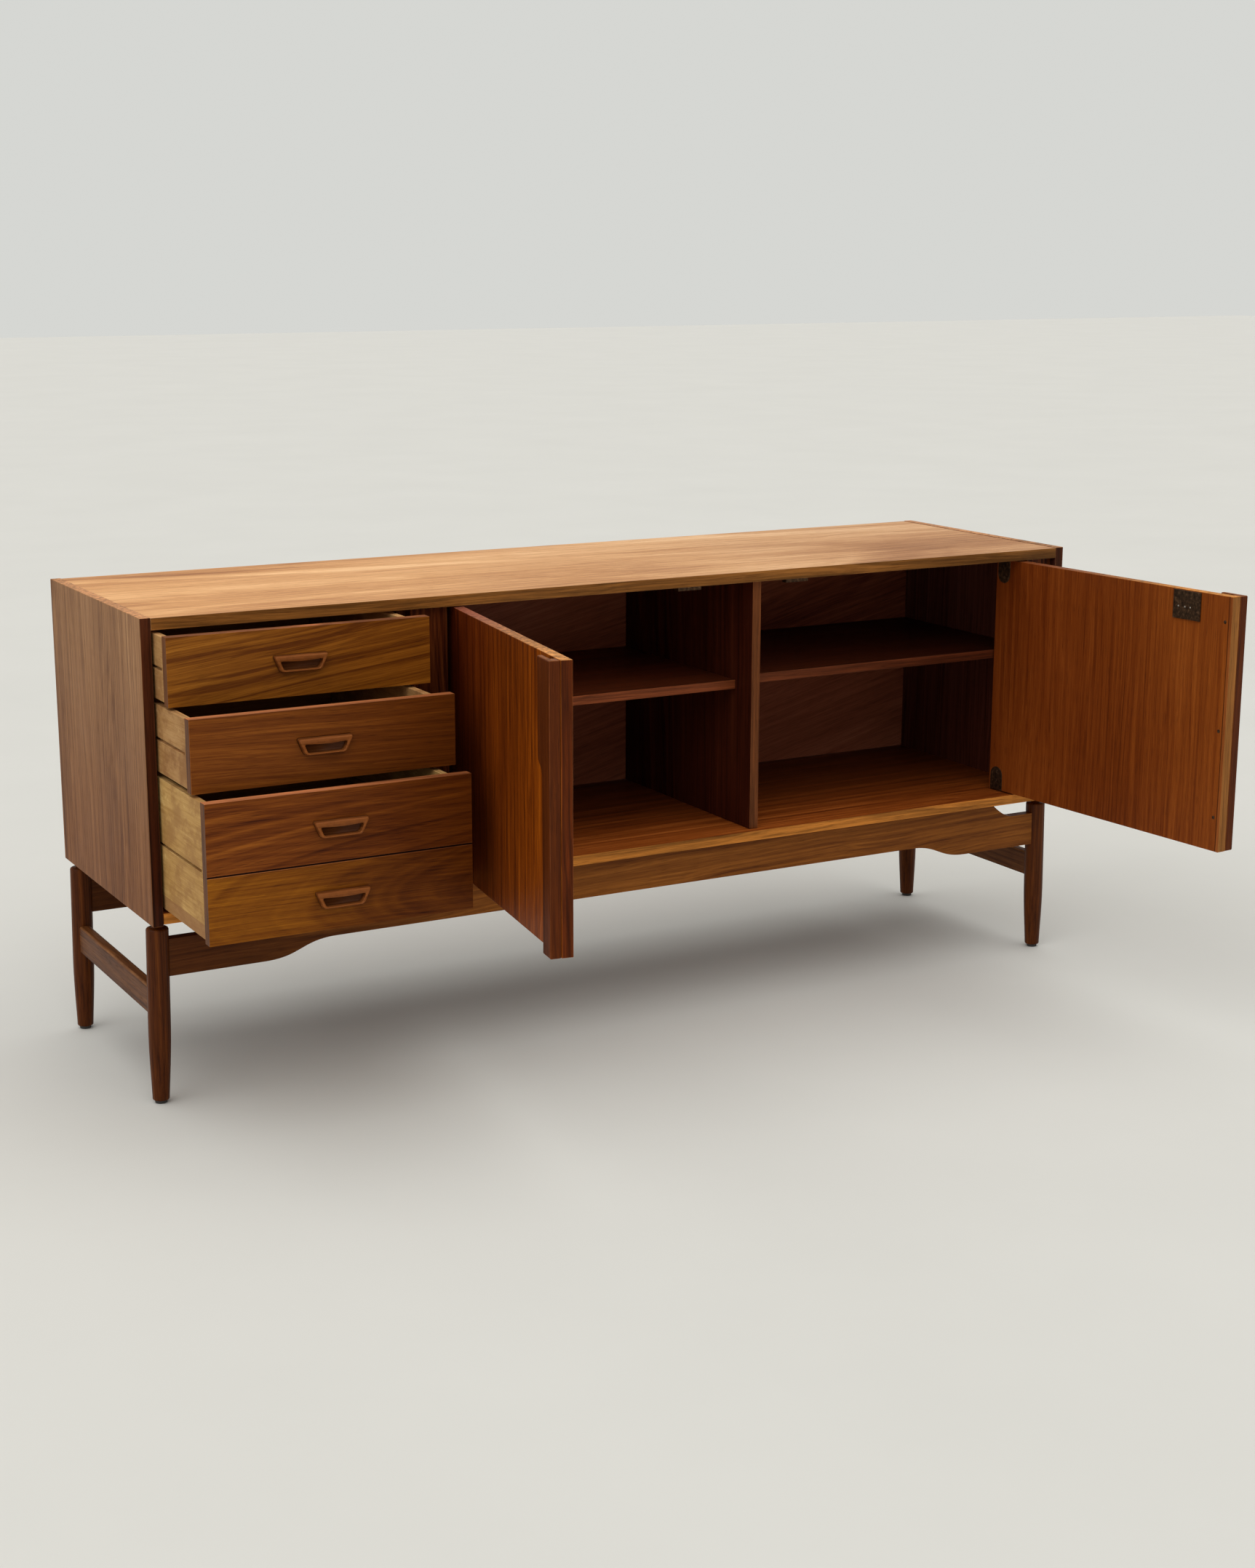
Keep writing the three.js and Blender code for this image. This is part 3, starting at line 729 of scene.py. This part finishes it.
def shaded_inside(sign):
    """A side panel darkens towards its foot, and its inner face is painted darker and redder as
    painted shade inside the case.
    """
    low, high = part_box("side_panel_left")
    upright_fade = fade(Z, low.z, high.z, (0.8, 0.66, 0.52), (1.14, 1.2, 1.22))

    def paint(graph, colour, place, towards):
        colour = upright_fade(graph, colour, place, towards)
        dark = graph.times(colour, (0.36, 0.22, 0.34, 1))
        return graph.mix(side_on(graph, towards, X, sign), colour, dark)

    return paint


def door_painted_shade_and_lipping(door, outer, inner, lipping):
    """A door is painted darker by its hinge and lighter towards its free edge, as painted shade; a
    solid lipping ends its veneers there.

    outer and inner are each a pair of tones, by the hinge and by the free edge."""
    start = door.pivot.x + door.side * DOOR_REACH * 0.1
    free = door.pivot.x + door.side * DOOR_REACH
    outer_fade = fade(X, start, free, *outer)
    inner_fade = fade(X, start, free, *inner)

    def paint(graph, colour, place, towards):
        outer_colour = outer_fade(graph, colour, place, towards)
        inner_colour = inner_fade(graph, colour, place, towards)
        inwards = side_on(graph, towards, Y, 1)
        colour = graph.mix(inwards, outer_colour, inner_colour)
        edge = graph.math("MULTIPLY", graph.math("SUBTRACT", free, place[X]), door.side)
        strip = graph.math("MULTIPLY", inwards, graph.step(edge, LIPPING, LIPPING - 0.3 * MM))
        joint = graph.math("SUBTRACT", edge, LIPPING)
        joint = graph.step(graph.math("ABSOLUTE", joint), 1.1 * MM, 0.5 * MM)
        solid = graph.times(colour, (*lipping, 1))
        colour = graph.mix(strip, colour, solid)
        line = graph.math("MULTIPLY", graph.math("MULTIPLY", joint, inwards), 0.8)
        return graph.mix(line, colour, srgb(36, 14, 5))

    return paint


def drawer_side(graph, colour, place, towards):
    """A drawer side is stained in patches, and the deep one has a browner strip at its foot."""
    spot = graph.joined(place)
    stain = graph.noise(spot, (1, 11, 16), 5.0, 0.72)
    colour = graph.mix(graph.step(stain, 0.44, 0.62, 0, 0.75), colour, srgb(150, 108, 62))
    colour = graph.mix(graph.step(stain, 0.42, 0.3, 0, 0.5), colour, srgb(226, 194, 130))
    foot, deep = (corner.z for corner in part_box("drawer_deep_side_left"))
    # parts in this wood that sit above the deep drawer's sides are darker
    darker_upper = graph.times(colour, (0.78, 0.7, 0.75, 1))
    colour = graph.mix(graph.step(place[Z], deep, deep + 1 * MM), colour, darker_upper)
    strip = graph.step(place[Z], foot + STAINED_FOOT, foot + STAINED_FOOT - 1 * MM, 0, 0.7)
    return graph.mix(strip, colour, srgb(142, 98, 62))


def grip_rub_and_shade(graph, colour, place, towards):
    """The crown of a grip is rubbed paler, and the pocket is painted darker with depth as painted
    shade.
    """
    spot = graph.joined(place)
    patch = graph.noise(spot, (60, 60, 60), 3.0, 0.6)
    crown = graph.step(place[Y], -8.5 * MM, -10.8 * MM)
    rub = graph.math("MULTIPLY", crown, graph.step(patch, 0.3, 0.65, 0.35, 0.95))
    colour = graph.mix(graph.math("MULTIPLY", rub, 0.55), colour, srgb(150, 86, 38))
    # painted shade that deepens into the pocket
    return graph.mix(graph.step(place[Y], -7 * MM, 3 * MM, 0.0, 0.75), colour, srgb(58, 28, 12))


def glide_plastic():
    graph = Graph("glide_plastic")
    place = graph.point()
    grit = graph.noise(place, (900, 900, 900), 3.0, 0.6)
    base = graph.ramp(grit, [(0.3, srgb(24, 21, 19)), (0.75, srgb(52, 47, 42))])
    graph.put(base_color=base, roughness=graph.math("MULTIPLY_ADD", grit, 0.3, 0.45))
    graph.bump(grit, 0.3, 0.1 * MM)
    return graph.material


def case_woods():
    made = {}
    made["top"] = wood(
        "teak_top",
        [(142, 92, 60), (192, 138, 94), (219, 167, 119), (242, 196, 150)],
        X, Z, pith=(-0.3, 0.17), slope=0.035, rings=42, swirl=2.2, figure=0.24,
        broad=0.7, edges={Y: (130, 82, 36)}, worn=(218, 166, 120), rough=0.5, seed=1.3,
        extra=fade(X, cad_low.x, cad_high.x, (1.12, 1.1, 1.0), (0.92, 0.95, 1.0)),
    )
    for side, sign in (("left", 1), ("right", -1)):
        made["side_" + side] = wood(
            "teak_side_" + side,
            [(78, 44, 24), (114, 75, 46), (142, 99, 64), (160, 117, 80)],
            Z, X, pith=(0.1, -1.2), rings=60, swirl=2.5, figure=0.2, streak=1.1, broad=0.6,
            edges={Y: (62, 27, 10), Z: (176, 122, 82)}, worn=(150, 104, 68), rough=0.5,
            seed=4.1 * sign, extra=shaded_inside(sign),
        )
    made["inside"] = wood(
        "teak_inside",
        [(72, 28, 8), (118, 54, 16), (150, 76, 26), (186, 104, 44)],
        X, Z, pith=(0.2, 0.8), rings=55, swirl=3, edges={Y: (168, 106, 42)},
        worn=(212, 142, 70), wear=0.9, seed=2.6,
        # painted shade: the bottom board is painted darker towards the back of the case
        extra=fade(Y, -0.1, 0.44, (1.1, 1.08, 1.05), (0.4, 0.34, 0.4)),
    )
    # painted shade: the dividers take darker tones than the outer teak, for the shade inside the case
    made["upright"] = wood(
        "teak_upright",
        [(34, 10, 5), (56, 20, 10), (72, 30, 15), (88, 42, 22)],
        Z, X, pith=(0.2, 0.5), rings=55, swirl=3, edges={Y: (112, 62, 30)}, worn=(140, 82, 44),
        seed=7.7,
    )
    # painted shade: the stiles take dark tones for the shade between the drawers and the open doors
    made["stile"] = wood(
        "teak_stile",
        [(42, 12, 4), (72, 28, 9), (96, 44, 16), (120, 62, 26)],
        Z, Y, pith=(0.55, -0.42), slope=0.05, rings=110, swirl=3, figure=0.5, seed=3.4,
    )
    # painted light and shade: the back panel is painted darker at its left and lighter at its right
    made["back"] = wood(
        "teak_back",
        [(78, 33, 20), (112, 56, 34), (134, 72, 46), (154, 90, 60)],
        X, Y, pith=(0.4, 0.7), slope=0.05, rings=34, swirl=4, figure=0.12, tilt=14, broad=0.9,
        streak=0.55, seed=8.2, extra=fade(X, -0.45, 0.9, (0.85, 0.8, 0.85), (1.35, 1.4, 1.6)),
    )
    # painted shade: the shelves take darker tones than the outer teak and are painted darker still
    # towards the right
    made["shelf"] = wood(
        "teak_shelf",
        [(40, 14, 6), (64, 26, 12), (84, 38, 18), (104, 52, 28)],
        X, Z, pith=(0.1, 0.9), rings=60, edges={Y: (112, 56, 28)}, worn=(140, 80, 46), seed=5.9,
        extra=fade(X, -0.1, 0.9, (1.2, 1.2, 1.2), (0.4, 0.35, 0.4)),
    )
    return made


def drawer_woods():
    edges = {Z: (168, 104, 66)}
    made = {}
    made["front_top"] = wood(
        "teak_front_top",
        [(96, 50, 10), (134, 80, 21), (160, 102, 33), (184, 122, 46)],
        X, Y, pith=(-0.62, 0.60), slope=0.05, rings=48, swirl=4.5, figure=0.25, tilt=7, seed=0.4,
        broad=0.8, edges=edges, worn=(170, 104, 56), extra=front_painted_light_and_core(1.1, 0.92),
    )
    made["front_middle"] = wood(
        "teak_front_middle",
        [(56, 22, 4), (92, 44, 10), (114, 60, 16), (138, 78, 24)],
        X, Y, pith=(-0.7, 0.2), rings=90, swirl=4, figure=0.2, tilt=-1.5, seed=6.1,
        broad=0.7, edges=edges, worn=(170, 104, 60), extra=front_painted_light_and_core(1.05, 0.7),
    )
    made["front_deep"] = wood(
        "teak_front_deep",
        [(58, 22, 4), (92, 43, 9), (114, 59, 15), (136, 76, 22)],
        X, Y, pith=(-0.72, 0.375), slope=0.09, rings=100, swirl=2.0, figure=0.32, streak=0.75,
        seed=9.3, edges=edges, worn=(166, 92, 56), extra=deep_front,
    )
    made["pale"] = wood(
        "pale_side",
        [(142, 102, 52), (174, 133, 76), (194, 155, 96), (208, 173, 116)],
        Y, X, rings=70, figure=0.14, streak=0.6, broad=0.6, pores=0.25, rough=0.6, seed=7.1,
        edges={Z: (196, 156, 98)}, worn=(208, 176, 120), extra=drawer_side,
    )
    made["pale_panel"] = wood(
        "pale_panel",
        [(120, 84, 44), (150, 110, 62), (170, 130, 80), (186, 150, 98)],
        X, Z, rings=60, figure=0.2, streak=0.6, pores=0.25, rough=0.6, seed=8.8,
    )
    made["grip"] = wood(
        "dark_grip",
        [(60, 28, 10), (96, 50, 20), (124, 70, 32), (150, 92, 48)],
        X, Y, figure=0.2, wear=0.0, rough=0.36, seed=5.2, extra=grip_rub_and_shade,
    )
    return made


def door_woods():
    made = {}
    edges = {Z: (188, 130, 92), X: (74, 30, 8)}
    made["door_left"] = wood(
        "teak_door_left",
        [(58, 21, 3), (98, 43, 6), (126, 61, 11), (156, 84, 20)],
        Z, Y, door=LEFT_DOOR, seed=2.2, pith=(0.4, 0.35), rings=60, swirl=3, figure=0.2,
        streak=1.1, edges=edges, worn=(160, 92, 44),
        extra=door_painted_shade_and_lipping(
            LEFT_DOOR,
            outer=((0.46, 0.3, 0.36), (1.3, 1.25, 0.7)),
            inner=((0.9, 0.85, 1.2), (1.2, 1.3, 2.0)),
            lipping=(1.05, 1.2, 1.85),
        ),
    )
    made["door_right"] = wood(
        "teak_door_right",
        [(78, 32, 8), (110, 50, 14), (132, 66, 21), (154, 84, 32)],
        Z, Y, door=RIGHT_DOOR, seed=5.5, pith=(0.4, -1.5), rings=80, swirl=3, figure=0.1,
        streak=0.75, broad=0.8, edges={Z: (188, 126, 84), X: (124, 82, 66)},
        worn=(160, 96, 50),
        extra=door_painted_shade_and_lipping(
            RIGHT_DOOR,
            outer=((0.4, 0.25, 0.16), (1.15, 1.05, 0.35)),
            inner=((0.8, 0.7, 0.66), (1.06, 1.06, 1.0)),
            lipping=(1.05, 1.2, 1.85),
        ),
    )
    for door in DOORS:
        made[door.name + "_pull"] = wood(
            "dark_" + door.name, PULL_TEAK, Z, Y, door=door, seed=1.9, rings=40, figure=0.1,
            broad=0.3, edges={Z: (136, 82, 46)}, worn=(112, 58, 24), wear=0.7, rough=0.45,
        )
    return made


def base_woods():
    low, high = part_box("rail_front")
    made = {}
    made["rail"] = wood(
        "teak_rail",
        [(72, 34, 9), (104, 57, 18), (130, 76, 27), (154, 96, 40)],
        X, Y, pith=(0.1, 0.1), slope=0.03, rings=60, swirl=4, figure=0.16, tilt=1.5,
        worn=(146, 90, 42), seed=3.9,
        # painted shade: the rail is painted darker towards its left end, under the drawers
        extra=fade(X, low.x + 0.05, low.x + 0.55, (0.36, 0.3, 0.32), (1.03, 1.02, 0.95)),
    )
    made["leg"] = wood(
        "dark_leg", DARK_TEAK, Z, Y, figure=0.16, pith=(0, 0.02), slope=0.02, rings=120,
        wear=0.0, rough=0.38, seed=6.6,
    )
    made["stretcher"] = wood(
        "dark_stretcher", STRETCHER_TEAK, Y, X, figure=0.16, worn=(150, 100, 58), seed=1.1,
    )
    return made


def build_materials():
    made = {**case_woods(), **drawer_woods(), **door_woods(), **base_woods()}
    made["bronze"] = metal("aged_bronze", (84, 62, 44), 0.5, (132, 100, 72))
    made["steel"] = metal("worn_steel", (176, 168, 156), 0.32)
    made["glide"] = glide_plastic()
    return made


# ---- pieces --------------------------------------------------------------------------------------

DRAWERS = ("drawer_top", "drawer_middle", "drawer_deep")


def dress_case(made):
    dress(["top_board"], made["top"], 0.8 * MM)
    for side in ("left", "right"):
        dress(["side_panel_" + side], made["side_" + side], 1.2 * MM)
    dress(["bottom_board"], made["inside"], 1.0 * MM)
    dress(["drawer_divider", "centre_divider"], made["upright"], 1.0 * MM)
    dress(["stile_left", "stile_right"], made["stile"], 1.0 * MM)
    dress(["back_panel"], made["back"], 0.5 * MM)
    dress(["shelf_left", "shelf_right"], made["shelf"], 1.2 * MM)
    dress(["rail_front", "rail_back"], made["rail"], 2.5 * MM, 4)
    dress(["stretcher_left", "stretcher_right"], made["stretcher"], 2.0 * MM, 4)
    for name in DRAWERS:
        dress([name + "_runner_left", name + "_runner_right"], made["pale"], 0.4 * MM, 2)


def dress_drawers(made):
    for name in DRAWERS:
        dress([name + "_front"], made["front_" + name.split("_")[1]], 1.0 * MM)
        dress([name + "_side_left", name + "_side_right"], made["pale"], 0.8 * MM)
        dress([name + "_back", name + "_bottom"], made["pale_panel"], 0.6 * MM)
    for name in nodes:
        if "_handle" in name:
            front = name.split("_handle")[0] + "_front"
            build_grip(name, front, made["grip"])


def dress_doors(made):
    for door in DOORS:
        name = door.name
        dress([name + "_panel"], made[name], 1.0 * MM)
        dress([name + "_pull"], made[name + "_pull"], 2.2 * MM, 4)
        fittings = [name + "_hinge_top", name + "_hinge_bottom"]
        dress(fittings + [name + "_catch_plate", name + "_catch_body"], made["bronze"], 0.5 * MM)


def dress_base(made):
    for end in ("front", "back"):
        for side in ("left", "right"):
            build_leg(f"{end}_{side}", made["leg"])
            dress([f"glide_{end}_{side}"], made["glide"], 0.8 * MM)


DOOR_FACE = 9.5 * MM  # from the hinge axis to the door's inner face
HINGE_SCREW_DROPS = (17 * MM, 34 * MM)
HINGE_SPINS = {"top": (0.4, 1.9), "bottom": (2.6, 0.9)}
PULL_SPINS = (1.3, 2.2, 0.1)
RIVET_DROP = 29 * MM
RIVET_SHARES = (0.2, 0.44, 0.64)  # of the catch plate's width
CATCH_INSET = 72 * MM
CATCH_WIDTH = 64 * MM
CATCH_PLATE = 3.3 * MM  # how far the rivets stand off the door
SCREW_RADIUS = 3.0 * MM
PULL_SCREWS = (744 * MM, 550 * MM, 394 * MM)  # heights above the floor
PULL_SCREW_INSET = 15 * MM
SHELF_PIN_INSET = 48 * MM
SHELF_PIN_RADIUS = 3 * MM
BACK_PIN_MARGIN = 9 * MM
BACK_PIN_COLUMNS = 13
BACK_PIN_ROWS = 4


def add_screw(name, material, body, place, spin, radius=SCREW_RADIUS, rise=0.5 * MM):
    """A screw whose slot is turned by spin radians."""
    mesh = screw_mesh(name, radius, rise)
    turned = place @ Matrix.Rotation(spin, 4, "Z")
    new_piece(name, mesh, material, body, turned)


def door_fittings(door, made):
    """Screws in the hinge leaves and behind the pull, and rivets on the catch plate."""
    base = door.matrix()
    panel_low, panel_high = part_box(door.name + "_panel")
    face = Matrix.Rotation(math.radians(-90), 4, "X")

    def on_face(reach, height, lift=0.0):
        return base @ Matrix.Translation((door.side * reach, DOOR_FACE + lift, height)) @ face

    for end, edge, up in (("top", panel_high.z, -1), ("bottom", panel_low.z, 1)):
        for i, drop in enumerate(HINGE_SCREW_DROPS):
            name = f"{door.name}_hinge_{end}_screw_{i + 1}"
            place = on_face(0, edge + up * drop, 0.1 * MM)
            add_screw(name, made["bronze"], door.name, place, HINGE_SPINS[end][i])
    for i, height in enumerate(PULL_SCREWS):
        name = f"{door.name}_pull_screw_{i + 1}"
        place = on_face(DOOR_REACH - PULL_SCREW_INSET, height)
        add_screw(name, made["bronze"], door.name, place, PULL_SPINS[i], 3.2 * MM, 0.3 * MM)
    plate_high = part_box(door.name + "_catch_plate")[1]
    for i, share in enumerate(RIVET_SHARES):
        name = f"{door.name}_catch_rivet_{i + 1}"
        reach = DOOR_REACH - CATCH_INSET - CATCH_WIDTH * (1 - share)
        place = on_face(reach, plate_high.z - RIVET_DROP, CATCH_PLATE)
        mesh = dome_mesh(name, 1.7 * MM, 0.8 * MM)
        new_piece(name, mesh, made["steel"], door.name, place)


def shelf_pins(shelf, made):
    """A round pin under each corner of a shelf, let into the upright beside it."""
    low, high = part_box(shelf)
    radius = SHELF_PIN_RADIUS
    profile = [(radius, 0), (radius, 9 * MM), (radius * 0.8, 10 * MM), (radius * 0.3, 10.4 * MM)]
    for end, y in (("front", low.y + SHELF_PIN_INSET), ("back", high.y - SHELF_PIN_INSET)):
        for side, x, sign in (("left", low.x - 1 * MM, 1), ("right", high.x + 1 * MM, -1)):
            name = f"{shelf}_pin_{end}_{side}"
            mesh = lathe(name, profile, ROUND_STEPS)
            place = facing_matrix((x, y, low.z - radius - 0.1 * MM), (sign, 0, 0))
            new_piece(name, mesh, made["steel"], "case", place)


def back_panel_pins(made):
    """Small round nail heads hold the back panel along its four edges."""
    low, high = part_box("back_panel")
    margin = BACK_PIN_MARGIN
    places = []
    for i in range(BACK_PIN_COLUMNS):
        x = low.x + margin + (high.x - low.x - 2 * margin) * i / (BACK_PIN_COLUMNS - 1)
        places += [(x, low.z + margin), (x, high.z - margin)]
    for i in range(1, BACK_PIN_ROWS):
        z = low.z + margin + (high.z - low.z - 2 * margin) * i / BACK_PIN_ROWS
        places += [(low.x + margin, z), (high.x - margin, z)]
    for i, (x, z) in enumerate(places):
        name = f"back_panel_pin_{i + 1}"
        mesh = dome_mesh(name, 2.2 * MM, 0.7 * MM)
        place = facing_matrix((x, high.y, z), (0, 1, 0))
        new_piece(name, mesh, made["steel"], "case", place)


build_camera()
build_floor()
build_light()
materials = build_materials()
dress_case(materials)
dress_drawers(materials)
dress_doors(materials)
dress_base(materials)
for hinged in DOORS:
    door_fittings(hinged, materials)
for board in ("shelf_left", "shelf_right"):
    shelf_pins(board, materials)
back_panel_pins(materials)
